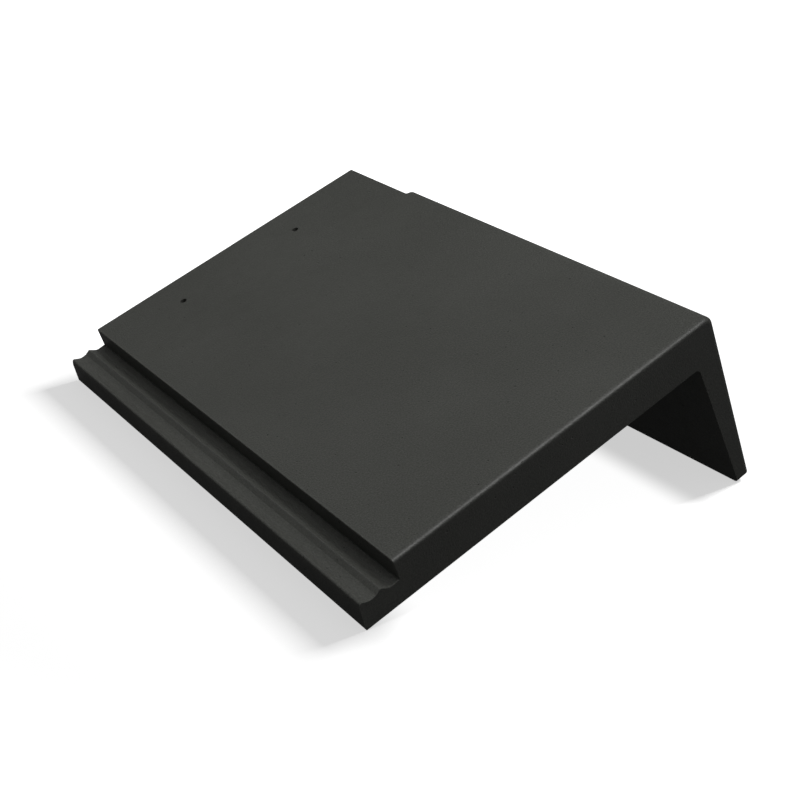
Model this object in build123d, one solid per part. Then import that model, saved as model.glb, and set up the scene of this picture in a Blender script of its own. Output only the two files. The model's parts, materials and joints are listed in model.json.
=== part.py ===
from build123d import *
from math import atan2, degrees
import os

# Cloaked verge tile of concrete, cast in one piece, sizes in millimetres.
# It is drawn in the tile's own frame: X runs across from the step beside the underlock
# towards the verge, Y from the tail to the head, and Z up, with 0 at the top face.

# Plan, with the length taken along the bottom face
tile_length = 424.0
deck_width = 280.2
head_lean = 5.5
headlap_length = 90.0
head_notch = 9.8
notch_radius = 2.0

# Depths below the top face
body_depth = 34.7
deck_thickness = 16.0

# Cloak that hangs down over the verge
cloak_depth = 157.5
cloak_foot_spread = 11.7
cloak_root_thickness = 21.6
cloak_foot_thickness = 12.8
cloak_top_taper = 1.2
cloak_foot_taper = 9.7
verge_edge_radius = 8.0
cloak_root_radius = 5.0
foot_outer_radius = 2.0

# Underlock: a ledge along the left side with two ribs and two channels
underlock_width = 32.3
underlock_draft = 1.4
outer_rib_inset = 2.9
outer_rib_top = 12.4
outer_rib_shoulder = 4.6
outer_channel_inset = 9.8
outer_channel_floor = 16.4
inner_channel_rise = 0.8
inner_rib_foot_inset = 14.6
inner_rib_inset = 18.6
inner_rib_top = 13.2
inner_channel_inset = 24.8
inner_channel_floor = 17.8
inner_channel_fall = 0.5
outer_wall_radius = 6.0
outer_rib_radius = 1.6
inner_rib_radius = 1.0
outer_channel_radius = 8.0
inner_channel_radius = 5.0

# Roundings of the tail end and of the other outer edges
tail_edge_radius = 3.6
edge_break = 0.8

# Underside: bars across the tile, ribs along it and the hollows between them
tail_bar_width = 30.0
weather_bar_start = 58.0
weather_bar_width = 9.0
weather_bar_clearance = 3.0
head_bar_width = 52.0
step_rib_width = 9.0
verge_rib_width = 12.0
hollow_radius = 9.0
hollow_draft = 10.0
hollow_floor_radius = 4.0

# Hanging nibs under the head bar
nib_spacing = 190.0
nib_width = 38.0
nib_length = 17.0
nib_depth = 14.0
nib_head_margin = 5.0
nib_side_draft = 3.0
nib_back_draft = 4.0
nib_corner_radius = 3.0
nib_tip_radius = 1.5

# Nail holes
nail_hole_radius = 2.8
nail_hole_spacing = 116.3
nail_hole_head_margin = 41.2
nail_row_offset = 5.7

# Sizes that follow from the ones above
head_width = deck_width - head_notch
nail_row_centre = (head_width - underlock_width) / 2 + nail_row_offset
cloak_length = tile_length - headlap_length
root_outer = deck_width + cloak_foot_spread * body_depth / cloak_depth
root_inner = root_outer - cloak_root_thickness
foot_outer = deck_width + cloak_foot_spread
foot_inner = foot_outer - cloak_foot_thickness
rest_slope = (cloak_depth - body_depth) / (foot_inner + underlock_width)
rest_tilt = degrees(atan2(cloak_depth - body_depth, foot_inner + underlock_width))
root_taper = cloak_top_taper + (cloak_foot_taper - cloak_top_taper) * body_depth / cloak_depth
overlap = 14.0


def underlock_section() -> Sketch:
    """Section of the underlock ledge, from its outer wall to just inside the step."""
    left = -underlock_width
    outer_wall_top = (left + underlock_draft, -outer_rib_top - outer_rib_shoulder)
    outer_rib = (left + outer_rib_inset, -outer_rib_top)
    outer_channel = (left + outer_channel_inset, -outer_channel_floor)
    inner_rib_foot = (left + inner_rib_foot_inset, inner_channel_rise - outer_channel_floor)
    inner_rib = (left + inner_rib_inset, -inner_rib_top)
    inner_channel = (left + inner_channel_inset, -inner_channel_floor)
    step_foot = (0, inner_channel_fall - inner_channel_floor)
    outline = Polyline(
        (left, -body_depth),
        outer_wall_top,
        outer_rib,
        outer_channel,
        inner_rib_foot,
        inner_rib,
        inner_channel,
        step_foot,
        (0, 0),
        (overlap, 0),
        (overlap, -body_depth),
        close=True,
    )
    section = make_face(outline)
    section = fillet(corners_at(section, outer_wall_top), outer_wall_radius)
    section = fillet(corners_at(section, outer_rib), outer_rib_radius)
    section = fillet(corners_at(section, outer_channel), outer_channel_radius)
    section = fillet(corners_at(section, inner_rib), inner_rib_radius)
    return fillet(corners_at(section, inner_channel), inner_channel_radius)


def corners_at(section: Sketch, *places: tuple[float, float]) -> list[Vertex]:
    """The corners of a section that lie nearest the given places."""
    return [section.vertices().sort_by_distance((*place, 0))[0] for place in places]


def cloak_section(taper_share: float) -> Sketch:
    """Section of the cloak, drawn in by a share of its taper: 0 at the tail, 1 at its head end."""
    top_shift = cloak_top_taper * taper_share
    root_shift = root_taper * taper_share
    foot_shift = cloak_foot_taper * taper_share
    foot_level = foot_shift * rest_slope - cloak_depth
    top_corner = (deck_width - top_shift, 0)
    outer_foot = (foot_outer - foot_shift, foot_level)
    inner_foot = (foot_inner - foot_shift, foot_level)
    root = (root_inner - root_shift, -body_depth)
    inside = root_inner - root_taper - overlap
    outline = Polyline(
        (inside, 0),
        top_corner,
        outer_foot,
        inner_foot,
        root,
        (inside, -body_depth),
        close=True,
    )
    return fillet(corners_at(make_face(outline), root), cloak_root_radius)


def across(distance: float) -> Plane:
    """The upright plane across the tile at a distance from the tail, seen from the tail."""
    return Plane(origin=(0, distance, 0), x_dir=(1, 0, 0), z_dir=(0, -1, 0))


def underlock() -> Part:
    """The ledge that the next tile along the course laps onto."""
    return extrude(across(tile_length) * underlock_section(), tile_length)


def deck() -> Part:
    """The flat plate and its head, with the rounded corner where the cloak stops."""
    plate = Pos(step_rib_width, 0, -body_depth) * Box(
        head_width - step_rib_width,
        tile_length,
        body_depth,
        align=(Align.MIN, Align.MIN, Align.MIN),
    )
    corner = Rectangle(notch_radius, notch_radius, align=(Align.MIN, Align.MIN))
    corner -= Pos(notch_radius, notch_radius) * Circle(notch_radius)
    gusset = extrude(Pos(head_width, cloak_length, -body_depth) * corner, body_depth)
    return plate + gusset


def beyond_head() -> Part:
    """The space beyond the head end face, which leans towards the tail as it rises."""
    outline = Polyline(
        (tile_length - 2 * head_lean, body_depth),
        (tile_length + head_lean, -2 * body_depth),
        (tile_length + 2 * head_lean, -2 * body_depth),
        (tile_length + 2 * head_lean, body_depth),
        close=True,
    )
    return extrude(Plane.YZ * make_face(outline), 2 * deck_width, both=True)


def cloak() -> Part:
    """The hanging plate at the verge, whose foot draws in from the tail to its head end."""
    tail = across(0) * cloak_section(0)
    head = across(cloak_length) * cloak_section(1)
    return loft([tail, head], ruled=True)


def hollow(start: float, end: float) -> Part:
    """A drafted hollow under the deck, between two distances from the tail."""
    left = step_rib_width
    right = root_inner - verge_rib_width
    mouth = Pos((left + right) / 2, (start + end) / 2, -body_depth) * RectangleRounded(
        right - left, end - start, hollow_radius
    )
    space = extrude(mouth, body_depth - deck_thickness, taper=hollow_draft)
    return fillet(space.faces().sort_by(Axis.Z)[-1].edges(), hollow_floor_radius)


def weather_bar_relief(start: float, end: float) -> Part:
    """The shallow cut that keeps the weather bar clear of the tile below."""
    left = step_rib_width
    width = root_inner - verge_rib_width - left
    return Pos(left, start, -body_depth) * Box(
        width,
        end - start,
        weather_bar_clearance,
        align=(Align.MIN, Align.MIN, Align.MIN),
    )


def nib(centre: float) -> Part:
    """A nib that hooks over the batten, with an upright bearing face on its tail side."""
    block = Wedge(
        nib_width,
        nib_depth,
        nib_length,
        nib_side_draft,
        0,
        nib_width - nib_side_draft,
        nib_length - nib_back_draft,
        align=(Align.CENTER, Align.MIN, Align.MIN),
    )
    bearing = tile_length - nib_head_margin - nib_length
    block = Pos(centre, bearing, -body_depth) * Rot(-90, 0, 0) * block
    back_corners = block.edges().filter_by(Axis.X, reverse=True).sort_by(Axis.Y)[-2:]
    block = fillet(back_corners, nib_corner_radius)
    return fillet(block.faces().sort_by(Axis.Z)[0].edges(), nib_tip_radius)


def nail_hole(centre: float) -> Part:
    """A nail hole through the head bar."""
    distance = tile_length - nail_hole_head_margin
    return Pos(centre, distance, -body_depth / 2) * Cylinder(nail_hole_radius, 2 * body_depth)


def long_edge(tile: Part, across_x: float, level: float) -> ShapeList[Edge]:
    """The edge along the tile that starts nearest a place on the tail end."""
    start = Vector(across_x, 0, level)
    along = [edge for edge in tile.edges() if abs(edge.tangent_at(0.5).Y) > 0.9]
    return ShapeList(along).sort_by(lambda edge: distance_to_ends(edge, start))[:1]


def distance_to_ends(edge: Edge, place: Vector) -> float:
    """Distance from a place to the nearer end of an edge."""
    return min((edge @ 0 - place).length, (edge @ 1 - place).length)


def end_face_edges(tile: Part, distance: float) -> ShapeList[Edge]:
    """The edges round the upright face at a distance from the tail."""
    level = tile.faces().filter_by_position(Axis.Y, distance - 0.01, distance + 0.01)
    return level[0].outer_wire().edges()


def head_outline(tile: Part) -> ShapeList[Edge]:
    """The edges round the leaning end face of the head."""
    return tile.faces().sort_by(Axis.Y)[-1].outer_wire().edges()


def tail_outline(tile: Part) -> ShapeList[Edge]:
    """The edges of the tail end along the top, over the verge and down the cloak."""
    tail = end_face_edges(tile, 0)
    top = tail.filter_by(lambda edge: edge.center().Z > -verge_edge_radius)
    outside = tail.filter_by(lambda edge: edge.center().X > foot_inner)
    return ShapeList(dict.fromkeys(top + outside))


def cloak_end_outline(tile: Part) -> ShapeList[Edge]:
    """The outer edges of the cloak's head end."""
    outside = head_width + notch_radius
    edges = end_face_edges(tile, cloak_length)
    return edges.filter_by(
        lambda edge: edge.center().X > outside + edge_break or edge.center().Z < -body_depth - edge_break
    )


def rounded(tile: Part) -> Part:
    """The tile with its outer edges rounded, from the largest radius to the smallest."""
    tile = fillet(long_edge(tile, deck_width, 0), verge_edge_radius)
    tile = fillet(long_edge(tile, foot_outer, -cloak_depth), foot_outer_radius)
    tile = fillet(cloak_end_outline(tile), edge_break)
    tile = fillet(tail_outline(tile), tail_edge_radius)
    tile = fillet(long_edge(tile, 0, 0), edge_break)
    tile = fillet(long_edge(tile, -underlock_width, -body_depth), edge_break)
    return fillet(head_outline(tile), edge_break)


def verge_tile() -> Part:
    """The whole tile, lying as it rests on a level floor."""
    tile = rounded(underlock() + deck() + cloak() - beyond_head())
    weather_bar_end = weather_bar_start + weather_bar_width
    tile -= hollow(tail_bar_width, weather_bar_start)
    tile -= hollow(weather_bar_end, tile_length - head_bar_width)
    tile -= weather_bar_relief(weather_bar_start, weather_bar_end)
    for side in (-1, 1):
        tile += nib(nail_row_centre + side * nib_spacing / 2)
        tile -= nail_hole(nail_row_centre + side * nail_hole_spacing / 2)
    lying = Rot(0, -rest_tilt, 0) * tile
    box = lying.bounding_box()
    return Pos(-box.center().X, -box.center().Y, -box.min.Z) * lying


tile = verge_tile()
tile.label = "verge_tile"
os.makedirs("parts", exist_ok=True)
export_step(tile, "parts/verge_tile.step")
print("volume", round(tile.volume), "rest tilt", round(rest_tilt, 3), "size", tile.bounding_box().size)
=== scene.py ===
"""Dresses the cloaked verge tile: one casting of through-coloured concrete, lying at rest.

Every length is in metres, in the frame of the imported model. The tile lies tilted about the
Y axis, so the finish works in the tile's own frame: X runs across from the step beside the
underlock towards the verge, Y from the tail to the head, and Z is 0 at the top face.
"""

import json
import logging
import math
from dataclasses import dataclass
from enum import Enum
from typing import ClassVar

import bpy
from mathutils import Matrix, Vector

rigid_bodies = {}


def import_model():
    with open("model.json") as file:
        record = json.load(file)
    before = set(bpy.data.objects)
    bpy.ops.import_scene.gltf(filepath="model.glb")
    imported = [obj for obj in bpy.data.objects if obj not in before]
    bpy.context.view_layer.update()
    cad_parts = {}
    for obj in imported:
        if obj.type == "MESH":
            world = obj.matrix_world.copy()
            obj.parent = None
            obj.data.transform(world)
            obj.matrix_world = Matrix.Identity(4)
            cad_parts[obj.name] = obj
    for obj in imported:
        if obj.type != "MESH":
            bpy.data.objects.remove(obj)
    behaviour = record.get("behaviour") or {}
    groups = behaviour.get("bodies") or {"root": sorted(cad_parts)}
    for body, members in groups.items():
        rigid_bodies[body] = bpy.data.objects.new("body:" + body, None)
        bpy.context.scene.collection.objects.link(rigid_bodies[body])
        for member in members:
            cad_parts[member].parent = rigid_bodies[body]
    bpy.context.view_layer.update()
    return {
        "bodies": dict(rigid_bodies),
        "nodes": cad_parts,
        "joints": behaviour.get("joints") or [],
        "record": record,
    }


log = logging.getLogger("verge_tile_scene")

TILE_NODE = "verge_tile"

Colour = tuple[float, float, float]
Place = tuple[float, float, float]
Ends = tuple[float, float]

WHITE: Colour = (1.0, 1.0, 1.0)
RISING: Ends = (0.0, 1.0)
FALLING: Ends = (1.0, 0.0)


class Socket(Enum):
    """Kinds of socket that the shader node groups use."""

    NUMBER = "NodeSocketFloat"
    VECTOR = "NodeSocketVector"


@dataclass(frozen=True)
class TilePose:
    """Where the tile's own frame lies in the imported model, and how large its top face is."""

    tilt: float = math.radians(21.5217)
    origin: Place = (-0.152895, -0.211932, 0.044130)
    length: float = 0.4185
    deck_width: float = 0.2802


class NodeBench:
    """Lays out nodes and links in one node tree."""

    # A Mix node has sockets for every kind of value, and these are its colour ones.
    FIRST_COLOUR: ClassVar[int] = 6
    SECOND_COLOUR: ClassVar[int] = 7
    MIXED_COLOUR: ClassVar[int] = 2

    def __init__(self, tree: bpy.types.NodeTree) -> None:
        """Take the node tree that the nodes go into.

        Args:
            tree: The tree of a material, a world or a node group.
        """
        self.tree = tree

    @classmethod
    def cleared(cls, owner: bpy.types.Material | bpy.types.World) -> "NodeBench":
        """Start on an empty tree.

        Args:
            owner: The material or world whose own nodes are taken out.

        Returns:
            A bench for its tree.
        """
        owner.use_nodes = True
        owner.node_tree.nodes.clear()
        return cls(owner.node_tree)

    def add(self, kind: str, name: str, **settings: object) -> bpy.types.Node:
        """Add one node.

        Args:
            kind: Blender's type name of the node.
            name: A plain name for it.
            **settings: Properties to set on the node.

        Returns:
            The new node.
        """
        node = self.tree.nodes.new(kind)
        node.name = name
        node.label = name
        for key, value in settings.items():
            setattr(node, key, value)
        return node

    def math(self, name: str, operation: str, *values: object) -> bpy.types.NodeSocket:
        """Add a Math node.

        Args:
            name: A plain name for it.
            operation: Blender's name of the operation.
            *values: One to three sockets or numbers, as the operation takes.

        Returns:
            The output socket.
        """
        node = self.add("ShaderNodeMath", name, operation=operation)
        for socket, value in zip(node.inputs, values):
            self.feed(socket, value)
        return node.outputs[0]

    def span(self, name: str, value: object, given: Ends, made: Ends) -> bpy.types.NodeSocket:
        """Add a smooth Map Range node.

        Args:
            name: A plain name for it.
            value: The socket that is mapped.
            given: The two values that map to the ends.
            made: The two ends.

        Returns:
            The output socket.
        """
        node = self.add("ShaderNodeMapRange", name, interpolation_type="SMOOTHSTEP")
        self.feed(node.inputs["Value"], value)
        self.feed(node.inputs["From Min"], given[0])
        self.feed(node.inputs["From Max"], given[1])
        self.feed(node.inputs["To Min"], made[0])
        self.feed(node.inputs["To Max"], made[1])
        return node.outputs["Result"]

    def mix(
        self, name: str, blend: str, share: object, first: object, second: object
    ) -> bpy.types.NodeSocket:
        """Add a Mix node for colours.

        Args:
            name: A plain name for it.
            blend: Blender's name of the blend mode.
            share: How much of the second colour is used, a socket or a number.
            first: A socket or a colour.
            second: A socket or a colour.

        Returns:
            The output socket.
        """
        node = self.add("ShaderNodeMix", name, data_type="RGBA", blend_type=blend)
        self.feed(node.inputs[0], share)
        self.feed(node.inputs[self.FIRST_COLOUR], first)
        self.feed(node.inputs[self.SECOND_COLOUR], second)
        return node.outputs[self.MIXED_COLOUR]

    def noise(
        self, name: str, place: object, scale: object, detail: float, roughness: float = 0.5
    ) -> bpy.types.NodeSocket:
        """Add a noise texture.

        Args:
            name: A plain name for it.
            place: The socket with the place on the surface.
            scale: How many waves fit in a metre, a socket or a number.
            detail: How many finer layers are laid over the first.
            roughness: How strong the finer layers are.

        Returns:
            The output socket, about 0.5 on the average.
        """
        node = self.add("ShaderNodeTexNoise", name, noise_dimensions="3D")
        self.feed(node.inputs["Vector"], place)
        self.feed(node.inputs["Scale"], scale)
        self.feed(node.inputs["Detail"], detail)
        self.feed(node.inputs["Roughness"], roughness)
        return node.outputs["Fac"]

    def cells(self, name: str, place: object, scale: object) -> bpy.types.Node:
        """Add a texture of cells, each with a random colour of its own.

        Args:
            name: A plain name for it.
            place: The socket with the place on the surface.
            scale: How many cells fit in a metre, a socket or a number.

        Returns:
            The node.
        """
        node = self.add("ShaderNodeTexVoronoi", name, feature="F1")
        self.feed(node.inputs["Vector"], place)
        self.feed(node.inputs["Scale"], scale)
        return node

    def both(self, name: str, first: bpy.types.Node, second: bpy.types.Node) -> bpy.types.Node:
        """Add an Add Shader node.

        Args:
            name: A plain name for it.
            first: A shader.
            second: Another shader.

        Returns:
            The node that adds them up.
        """
        node = self.add("ShaderNodeAddShader", name)
        self.feed(node.inputs[0], first.outputs[0])
        self.feed(node.inputs[1], second.outputs[0])
        return node

    def for_camera(
        self, name: str, shown: bpy.types.Node, unseen: bpy.types.Node
    ) -> bpy.types.Node:
        """Choose one shader for the camera and another for every other ray.

        Args:
            name: A plain name for the choice.
            shown: The shader that the camera sees.
            unseen: The shader that lights other surfaces.

        Returns:
            The node that chooses.
        """
        path = self.add("ShaderNodeLightPath", "light path")
        node = self.add("ShaderNodeMixShader", name)
        self.feed(node.inputs[0], path.outputs["Is Camera Ray"])
        self.feed(node.inputs[1], unseen.outputs[0])
        self.feed(node.inputs[2], shown.outputs[0])
        return node

    def feed(self, socket: bpy.types.NodeSocket, value: object) -> None:
        """Link a socket into an input, or set the input's own value.

        Args:
            socket: The input.
            value: A socket, a number, a place or a colour.
        """
        if isinstance(value, bpy.types.NodeSocket):
            self.tree.links.new(value, socket)
        elif isinstance(value, tuple) and socket.type == "RGBA":
            socket.default_value = (*value, 1.0)
        else:
            socket.default_value = value


class EffectGroup:
    """A shader node group with named inputs and outputs."""

    name: ClassVar[str] = "effect"
    inputs: ClassVar[dict[str, Socket]] = {}
    outputs: ClassVar[dict[str, Socket]] = {}

    def build(self) -> bpy.types.NodeTree:
        """Build the group once.

        Returns:
            The node group.
        """
        tree = bpy.data.node_groups.new(self.name, "ShaderNodeTree")
        for side, sockets in (("INPUT", self.inputs), ("OUTPUT", self.outputs)):
            for label, kind in sockets.items():
                tree.interface.new_socket(label, in_out=side, socket_type=kind.value)
        bench = NodeBench(tree)
        given = bench.add("NodeGroupInput", "given").outputs
        made = bench.add("NodeGroupOutput", "made").inputs
        self.lay_out(bench, given, made)
        return tree

    def lay_out(self, bench: NodeBench, given: object, made: object) -> None:
        """Lay out the group's nodes; each effect has its own.

        Args:
            bench: Where the nodes go.
            given: The group's inputs, by name.
            made: The group's outputs, by name.
        """
        raise NotImplementedError


@dataclass(frozen=True)
class SandGrain(EffectGroup):
    """Fine sand in the cement face, with the small pits that it leaves."""

    name: ClassVar[str] = "sand grain"
    inputs: ClassVar[dict[str, Socket]] = {
        "Place": Socket.VECTOR,
        "Grains per metre": Socket.NUMBER,
        "Pit share": Socket.NUMBER,
    }
    outputs: ClassVar[dict[str, Socket]] = {
        "Height": Socket.NUMBER,
        "Grain": Socket.NUMBER,
        "Pits": Socket.NUMBER,
    }
    noise_detail: float = 3.0
    noise_roughness: float = 0.6
    # Cells for each wave of the fine noise
    grain_cells: float = 0.8
    pit_cells: float = 0.17
    # In heights of the fine noise: how a grain falls towards its rim, and how deep a pit is
    grain_fall: float = -0.55
    pit_sink: float = 1.8
    # Radius of a pit in widths of its cell: the smallest, and how much the draw adds
    smallest_pit: float = 0.05
    pit_spread: float = 0.09
    # The flat bottom and the rim of a pit, in radii
    pit_bowl: Ends = (0.4, 1.0)

    def lay_out(self, bench: NodeBench, given: object, made: object) -> None:
        """Lay out a fine noise, rounded grains and scattered pits.

        Args:
            bench: Where the nodes go.
            given: The group's inputs, by name.
            made: The group's outputs, by name.
        """
        place = given["Place"]
        fineness = given["Grains per metre"]
        noise = bench.noise(
            "fine noise", place, fineness, self.noise_detail, self.noise_roughness
        )
        grain_scale = bench.math("grain scale", "MULTIPLY", fineness, self.grain_cells)
        grains = bench.cells("sand grains", place, grain_scale)
        pit_scale = bench.math("pit scale", "MULTIPLY", fineness, self.pit_cells)
        pits = bench.cells("pit cells", place, pit_scale)
        drawn = bench.add("ShaderNodeSeparateColor", "pit draw")
        bench.feed(drawn.inputs[0], pits.outputs["Color"])
        chosen = bench.math("pit chosen", "LESS_THAN", drawn.outputs[0], given["Pit share"])
        size = bench.math(
            "pit size", "MULTIPLY_ADD", drawn.outputs[1], self.pit_spread, self.smallest_pit
        )
        from_middle = bench.math("pit radii", "DIVIDE", pits.outputs["Distance"], size)
        bowl = bench.span("pit bowl", from_middle, self.pit_bowl, FALLING)
        pit_mask = bench.math("pit mask", "MULTIPLY", bowl, chosen)
        rounding = bench.math(
            "grain rounding", "MULTIPLY", grains.outputs["Distance"], self.grain_fall
        )
        relief = bench.math("relief", "ADD", noise, rounding)
        sunk = bench.math("pit sink", "MULTIPLY", pit_mask, self.pit_sink)
        bench.feed(made["Height"], bench.math("height", "SUBTRACT", relief, sunk))
        bench.feed(made["Grain"], noise)
        bench.feed(made["Pits"], pit_mask)


@dataclass(frozen=True)
class CementMottle(EffectGroup):
    """Soft clouds of lighter and darker cement, as they dry in a casting."""

    name: ClassVar[str] = "cement mottle"
    inputs: ClassVar[dict[str, Socket]] = {
        "Place": Socket.VECTOR,
        "Clouds per metre": Socket.NUMBER,
    }
    outputs: ClassVar[dict[str, Socket]] = {
        "Mottle": Socket.NUMBER,
        "Bloom": Socket.NUMBER,
    }
    cloud_detail: float = 4.0
    cloud_range: Ends = (0.3, 0.7)
    blooms_per_cloud: float = 7.0
    bloom_detail: float = 5.0
    bloom_roughness: float = 0.65
    bloom_range: Ends = (0.35, 0.7)

    def lay_out(self, bench: NodeBench, given: object, made: object) -> None:
        """Lay out broad clouds and finer blooms.

        Args:
            bench: Where the nodes go.
            given: The group's inputs, by name.
            made: The group's outputs, by name.
        """
        place = given["Place"]
        breadth = given["Clouds per metre"]
        clouds = bench.noise("clouds", place, breadth, self.cloud_detail)
        bloom_scale = bench.math("bloom scale", "MULTIPLY", breadth, self.blooms_per_cloud)
        blooms = bench.noise(
            "blooms", place, bloom_scale, self.bloom_detail, self.bloom_roughness
        )
        bench.feed(made["Mottle"], bench.span("mottle", clouds, self.cloud_range, RISING))
        bench.feed(made["Bloom"], bench.span("bloom", blooms, self.bloom_range, RISING))


@dataclass(frozen=True)
class ArrisWear(EffectGroup):
    """Rubbed arrises: where the top face meets the four sides of the deck."""

    name: ClassVar[str] = "arris wear"
    inputs: ClassVar[dict[str, Socket]] = {
        "Place": Socket.VECTOR,
        "Width": Socket.NUMBER,
        "Ragged": Socket.NUMBER,
    }
    outputs: ClassVar[dict[str, Socket]] = {"Wear": Socket.NUMBER}
    pose: TilePose = TilePose()
    rags_per_metre: float = 160.0
    rag_detail: float = 4.0
    # Where the wear starts to fade and where it ends, in widths
    fade: Ends = (0.3, 1.0)

    def lay_out(self, bench: NodeBench, given: object, made: object) -> None:
        """Lay out the distance to the nearest arris, with a ragged edge.

        Args:
            bench: Where the nodes go.
            given: The group's inputs, by name.
            made: The group's outputs, by name.
        """
        axes = bench.add("ShaderNodeSeparateXYZ", "tile axes")
        bench.feed(axes.inputs[0], given["Place"])
        across, along, up = axes.outputs
        past_head = bench.math("past head", "SUBTRACT", along, self.pose.length)
        past_verge = bench.math("past verge", "SUBTRACT", across, self.pose.deck_width)
        nearest = bench.math("to tail", "ABSOLUTE", along)
        for name, offset in (("head", past_head), ("step", across), ("verge", past_verge)):
            side = bench.math(f"to {name}", "ABSOLUTE", offset)
            nearest = bench.math("nearest side", "MINIMUM", nearest, side)
        side_square = bench.math("side square", "MULTIPLY", nearest, nearest)
        top_square = bench.math("top square", "MULTIPLY", up, up)
        squares = bench.math("squares", "ADD", side_square, top_square)
        distance = bench.math("to arris", "SQRT", squares)
        rag = bench.noise("ragged noise", given["Place"], self.rags_per_metre, self.rag_detail)
        shift = bench.math("rag shift", "MULTIPLY", rag, given["Ragged"])
        reach = bench.math("reach", "ADD", distance, shift)
        widths = bench.math("widths from arris", "DIVIDE", reach, given["Width"])
        bench.feed(made["Wear"], bench.span("wear", widths, self.fade, FALLING))


@dataclass(frozen=True)
class ConcreteFinish:
    """Dark grey concrete, coloured through, with a smooth satin slurry face."""

    name: str = "dark grey concrete"
    pose: TilePose = TilePose()
    body: Colour = (0.0437, 0.0449, 0.0407)
    light: Colour = (0.0485, 0.0498, 0.0453)
    worn: Colour = (0.0760, 0.0770, 0.0715)
    # Painted shade: a darker copy of the body colour for the sunk pits
    pit: Colour = (0.0190, 0.0195, 0.0175)
    specular_level: float = 0.20
    # What the effect groups get in this finish
    grains_per_metre: float = 900.0
    pit_share: float = 0.55
    clouds_per_metre: float = 9.0
    wear_width: float = 0.0025
    wear_rag: float = 0.0012
    # How strongly the effects colour the body
    speckle_share: float = 0.50
    grain_range: Ends = (0.3, 0.7)
    grain_tones: Ends = (0.60, 1.44)
    wear_share: float = 0.35
    # How strongly painted shade darkens the pits
    painted_pit_shade: float = 0.8
    # Roughness of the slurry face, and what blooms and pits add to it
    roughness: float = 0.43
    bloom_dulling: float = 0.08
    pit_dulling: float = 0.3
    # Height of the fine noise
    grain_height: float = 0.00014

    def material(self, groups: dict[str, bpy.types.NodeTree]) -> bpy.types.Material:
        """Build the material.

        Args:
            groups: The effect groups, by name.

        Returns:
            The concrete material.
        """
        material = bpy.data.materials.new(self.name)
        bench = NodeBench.cleared(material)
        shader = bench.add("ShaderNodeBsdfPrincipled", "concrete shader")
        output = bench.add("ShaderNodeOutputMaterial", "output")
        bench.feed(output.inputs["Surface"], shader.outputs[0])
        place = self.tile_place(bench)
        grain = self.effect(bench, groups[SandGrain.name], {
            "Place": place,
            "Grains per metre": self.grains_per_metre,
            "Pit share": self.pit_share,
        })
        mottle = self.effect(bench, groups[CementMottle.name], {
            "Place": place,
            "Clouds per metre": self.clouds_per_metre,
        })
        wear = self.effect(bench, groups[ArrisWear.name], {
            "Place": place,
            "Width": self.wear_width,
            "Ragged": self.wear_rag,
        })
        bench.feed(shader.inputs["Base Color"], self.colour(bench, grain, mottle, wear))
        bench.feed(shader.inputs["Roughness"], self.dulled(bench, grain, mottle))
        bench.feed(shader.inputs["Specular IOR Level"], self.specular_level)
        bump = bench.add("ShaderNodeBump", "surface relief")
        bench.feed(bump.inputs["Distance"], self.grain_height)
        bench.feed(bump.inputs["Strength"], 1.0)
        bench.feed(bump.inputs["Height"], grain["Height"])
        bench.feed(shader.inputs["Normal"], bump.outputs["Normal"])
        return material

    def tile_place(self, bench: NodeBench) -> bpy.types.NodeSocket:
        """Turn the model's coordinates into the tile's own frame.

        Args:
            bench: Where the nodes go.

        Returns:
            The place on the tile, in metres.
        """
        coordinates = bench.add("ShaderNodeTexCoord", "model place")
        mapping = bench.add("ShaderNodeMapping", "tile place", vector_type="TEXTURE")
        bench.feed(mapping.inputs["Location"], self.pose.origin)
        bench.feed(mapping.inputs["Rotation"], (0.0, -self.pose.tilt, 0.0))
        bench.feed(mapping.inputs["Vector"], coordinates.outputs["Object"])
        return mapping.outputs["Vector"]

    def effect(
        self, bench: NodeBench, tree: bpy.types.NodeTree, values: dict[str, object]
    ) -> bpy.types.NodeOutputs:
        """Place one effect group in the material.

        Args:
            bench: Where the nodes go.
            tree: The node group.
            values: What its inputs get, by name.

        Returns:
            The group's outputs.
        """
        node = bench.add("ShaderNodeGroup", tree.name, node_tree=tree)
        for label, value in values.items():
            bench.feed(node.inputs[label], value)
        return node.outputs

    def colour(
        self,
        bench: NodeBench,
        grain: bpy.types.NodeOutputs,
        mottle: bpy.types.NodeOutputs,
        wear: bpy.types.NodeOutputs,
    ) -> bpy.types.NodeSocket:
        """Cloud the body, speckle it with grain, rub its arrises and paint shade into its pits.

        Args:
            bench: Where the nodes go.
            grain: The sand grain's outputs.
            mottle: The cement mottle's outputs.
            wear: The arris wear's outputs.

        Returns:
            The colour of the surface.
        """
        clouded = bench.mix("clouded", "MIX", mottle["Mottle"], self.body, self.light)
        tone = bench.span("grain tone", grain["Grain"], self.grain_range, self.grain_tones)
        speckled = bench.mix("speckled", "MULTIPLY", self.speckle_share, clouded, tone)
        rubbed_share = bench.math("rubbed share", "MULTIPLY", wear["Wear"], self.wear_share)
        rubbed = bench.mix("rubbed", "MIX", rubbed_share, speckled, self.worn)
        # Painted shade: the pits are darkened towards the pit colour
        pit_shade_share = bench.math("pitted share", "MULTIPLY", grain["Pits"], self.painted_pit_shade)
        return bench.mix("pitted", "MIX", pit_shade_share, rubbed, self.pit)

    def dulled(
        self, bench: NodeBench, grain: bpy.types.NodeOutputs, mottle: bpy.types.NodeOutputs
    ) -> bpy.types.NodeSocket:
        """Dull the slurry face where it blooms and where it is pitted.

        Args:
            bench: Where the nodes go.
            grain: The sand grain's outputs.
            mottle: The cement mottle's outputs.

        Returns:
            The roughness of the surface.
        """
        bloomed = bench.math(
            "dull blooms", "MULTIPLY_ADD", mottle["Bloom"], self.bloom_dulling, self.roughness
        )
        return bench.math(
            "dull pits", "MULTIPLY_ADD", grain["Pits"], self.pit_dulling, bloomed
        )


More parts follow.
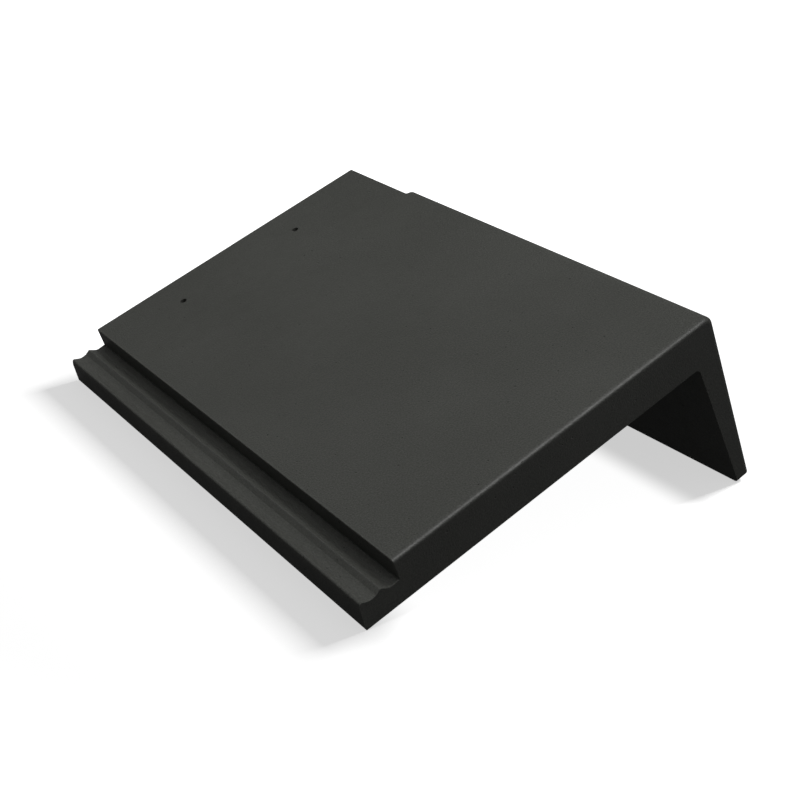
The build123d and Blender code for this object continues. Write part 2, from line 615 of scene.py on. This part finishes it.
@dataclass
class VergeTile:
    """The tile itself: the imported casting, dressed in concrete."""

    finish: ConcreteFinish = ConcreteFinish()

    def dress(self, frame: dict, groups: dict[str, bpy.types.NodeTree]) -> bpy.types.Object:
        """Give the casting its concrete.

        Args:
            groups: The effect groups, by name.

        Returns:
            The dressed casting.
        """
        casting = frame["nodes"][TILE_NODE]
        concrete = self.finish.material(groups)
        for slot in casting.material_slots:
            slot.material = concrete
        log.info("%s: %d faces, %s", casting.name, len(casting.data.polygons), self.finish.name)
        return casting


@dataclass
class StudioFloor:
    """A plain pale floor that keeps the tile's soft shadow.

    The camera sees paper that also glows, so that it comes out white where the side lamp
    reaches it; under the raised part of the tile, painted light takes the tile's shadow out.
    Other rays meet dark paper, so that little light bounces up at the tile.
    """

    half_side: float = 4.0
    shown_paper: float = 0.70
    shown_glow: float = 0.59
    bounced_paper: float = 0.08
    bounced_glow: float = 0.048
    # Painted light under the raised part of the tile, between a rise and a fall along X: extra
    # glow that takes the tile's shadow out of the floor there
    painted_light_under_tile: float = 0.38
    rise_under_tile: Ends = (-0.175, -0.125)
    fall_under_tile: Ends = (0.095, 0.125)
    # Extra glow where the side lamp fades, by the distance from the middle of the floor
    glow_far_away: float = 0.40
    far_away: Ends = (0.36, 0.62)

    def build(self) -> bpy.types.Object:
        """Build the floor.

        Returns:
            The floor object.
        """
        side = self.half_side
        mesh = bpy.data.meshes.new("studio_floor")
        corners = [(-side, -side, 0.0), (side, -side, 0.0), (side, side, 0.0), (-side, side, 0.0)]
        mesh.from_pydata(corners, [], [(0, 1, 2, 3)])
        floor = bpy.data.objects.new("studio_floor", mesh)
        bpy.context.scene.collection.objects.link(floor)
        mesh.materials.append(self.material())
        log.info("studio floor: %.1f m square", 2 * side)
        return floor

    def material(self) -> bpy.types.Material:
        """Build the paper: white to the camera, with a mild bounce for the tile.

        Returns:
            The floor's material.
        """
        material = bpy.data.materials.new("white paper")
        bench = NodeBench.cleared(material)
        shown = self.paper(bench, "shown", self.shown_paper, self.glow(bench))
        bounced = self.paper(bench, "bounced", self.bounced_paper, self.bounced_glow)
        choice = bench.for_camera("camera or tile", shown, bounced)
        output = bench.add("ShaderNodeOutputMaterial", "output")
        bench.feed(output.inputs["Surface"], choice.outputs[0])
        return material

    def paper(self, bench: NodeBench, name: str, grey: float, glow: object) -> bpy.types.Node:
        """Lay out matt paper that glows.

        Args:
            bench: Where the nodes go.
            name: A plain name for it.
            grey: How pale the paper is.
            glow: The strength of the glow, a socket or a number.

        Returns:
            The node that holds both.
        """
        matt = bench.add("ShaderNodeBsdfDiffuse", f"{name} paper")
        bench.feed(matt.inputs["Color"], (grey, grey, grey))
        light = bench.add("ShaderNodeEmission", f"{name} glow")
        bench.feed(light.inputs["Strength"], glow)
        return bench.both(f"{name} paper and glow", matt, light)

    def glow(self, bench: NodeBench) -> bpy.types.NodeSocket:
        """Work out the shown glow, with painted light under the raised part of the tile, and
        stronger far away.

        Args:
            bench: Where the nodes go.

        Returns:
            The strength of the glow.
        """
        place = bench.add("ShaderNodeTexCoord", "floor place").outputs["Object"]
        axes = bench.add("ShaderNodeSeparateXYZ", "floor axes")
        bench.feed(axes.inputs[0], place)
        across = axes.outputs["X"]
        # Painted light: the glow is raised in a band under the tile, which takes its shadow out
        # there
        rise = bench.span("rise", across, self.rise_under_tile, RISING)
        fall = bench.span("fall", across, self.fall_under_tile, FALLING)
        band = bench.math("band under tile", "MULTIPLY", rise, fall)
        extra = bench.math("extra glow", "MULTIPLY", band, self.painted_light_under_tile)
        reach = bench.add("ShaderNodeVectorMath", "distance from middle", operation="LENGTH")
        bench.feed(reach.inputs[0], place)
        ends = (self.shown_glow, self.shown_glow + self.glow_far_away)
        by_distance = bench.span("near or far", reach.outputs["Value"], self.far_away, ends)
        return bench.math("glow", "ADD", extra, by_distance)


@dataclass(frozen=True)
class SoftLamp:
    """A square soft lamp that points at the middle of the floor under the tile."""

    name: str
    towards: Place
    distance: float
    side: float
    power: float
    # Whether it gives shade and colour, and whether it gives gloss
    shades: bool = True
    shines: bool = True

    def hang(self) -> bpy.types.Object:
        """Hang the lamp.

        Returns:
            The lamp object.
        """
        direction = Vector(self.towards).normalized()
        data = bpy.data.lights.new(self.name, "AREA")
        data.shape = "SQUARE"
        data.size = self.side
        data.energy = self.power
        lamp = bpy.data.objects.new(self.name, data)
        lamp.location = direction * self.distance
        lamp.rotation_euler = direction.to_track_quat("Z", "Y").to_euler()
        lamp.visible_diffuse = self.shades
        lamp.visible_glossy = self.shines
        bpy.context.scene.collection.objects.link(lamp)
        log.info("%s: %.0f W, %.2f m square", self.name, self.power, self.side)
        return lamp


@dataclass
class StudioLight:
    """Three lamps for the tile, one for the floor, and a dim even room around them.

    A broad lamp and a smaller one overhead shade the tile, and one in front gives the sheen
    on its tail edge. The lamp on the verge side lights only the floor, past the tile, and
    casts the soft shadow.
    """

    overhead: SoftLamp = SoftLamp(
        "overhead_lamp", (-0.10, -0.09, 0.95), distance=1.8, side=2.20, power=31.0, shines=False
    )
    key: SoftLamp = SoftLamp(
        "key_lamp", (0.10, -0.17, 1.0), distance=1.8, side=0.50, power=11.5, shines=False
    )
    sheen: SoftLamp = SoftLamp(
        "tail_sheen_lamp", (0.10, -0.84, 0.68), distance=2.4, side=1.00, power=66.0, shades=False
    )
    beside: SoftLamp = SoftLamp(
        "verge_side_lamp", (1.0, -0.03, 0.84), distance=2.6, side=0.55, power=66.0
    )
    room_strength: float = 0.12

    def build(self, tile: bpy.types.Object, floor: bpy.types.Object) -> None:
        """Hang the lamps and set the room.

        Args:
            tile: The tile, which the lamps overhead and in front light.
            floor: The floor, which the side lamp lights past the tile.
        """
        self.light(tile, (self.overhead, self.key, self.sheen))
        self.light(floor, (self.beside,))
        self.set_room()

    def light(self, lit: bpy.types.Object, lamps: tuple[SoftLamp, ...]) -> None:
        """Hang lamps that light one object only.

        Args:
            lit: The object that they light.
            lamps: The lamps.
        """
        receivers = bpy.data.collections.new(f"lit_{lit.name}")
        receivers.objects.link(lit)
        for lamp in lamps:
            lamp.hang().light_linking.receiver_collection = receivers

    def set_room(self) -> None:
        """Set a room that is white to the camera and dim to the tile."""
        world = bpy.data.worlds.new("studio_room")
        bench = NodeBench.cleared(world)
        room = bench.add("ShaderNodeBackground", "room")
        bench.feed(room.inputs["Color"], WHITE)
        bench.feed(room.inputs["Strength"], self.room_strength)
        white = bench.add("ShaderNodeBackground", "white behind")
        bench.feed(white.inputs["Color"], WHITE)
        choice = bench.for_camera("camera or room", white, room)
        output = bench.add("ShaderNodeOutputWorld", "output")
        bench.feed(output.inputs["Surface"], choice.outputs[0])
        bpy.context.scene.world = world


@dataclass
class PhotoCamera:
    """The camera at the photograph's viewing angle, solved from the tile's parallel edges.

    The three directions are the photograph's right, down and ahead in the model's frame.
    """

    place: Place = (-0.552793, -0.751532, 0.47693)
    right: Place = (0.80976081, -0.58604141, 0.02903285)
    down: Place = (-0.23490048, -0.3691202, -0.89920634)
    ahead: Place = (0.53768876, 0.72132222, -0.43656048)
    lens_mm: float = 59.66
    sensor_mm: float = 36.0
    nearest: float = 0.05

    def build(self) -> bpy.types.Object:
        """Set up the camera.

        Returns:
            The camera object.
        """
        data = bpy.data.cameras.new("photo_camera")
        data.lens = self.lens_mm
        data.sensor_width = self.sensor_mm
        data.clip_start = self.nearest
        camera = bpy.data.objects.new("photo_camera", data)
        columns = (Vector(self.right), -Vector(self.down), -Vector(self.ahead))
        turn = Matrix(columns).transposed().to_4x4()
        camera.matrix_world = Matrix.Translation(Vector(self.place)) @ turn
        bpy.context.scene.collection.objects.link(camera)
        bpy.context.scene.camera = camera
        log.info("camera: %.1f mm lens", self.lens_mm)
        return camera


def main() -> None:
    """Build the camera, the studio and the tile."""
    logging.basicConfig(level=logging.INFO, format="%(name)s: %(message)s")
    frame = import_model()
    bpy.context.scene.view_settings.view_transform = "Standard"
    PhotoCamera().build()
    floor = StudioFloor().build()
    groups = {effect.name: effect.build() for effect in (SandGrain(), CementMottle(), ArrisWear())}
    tile = VergeTile().dress(frame, groups)
    StudioLight().build(tile, floor)


if __name__ == "__main__":
    main()
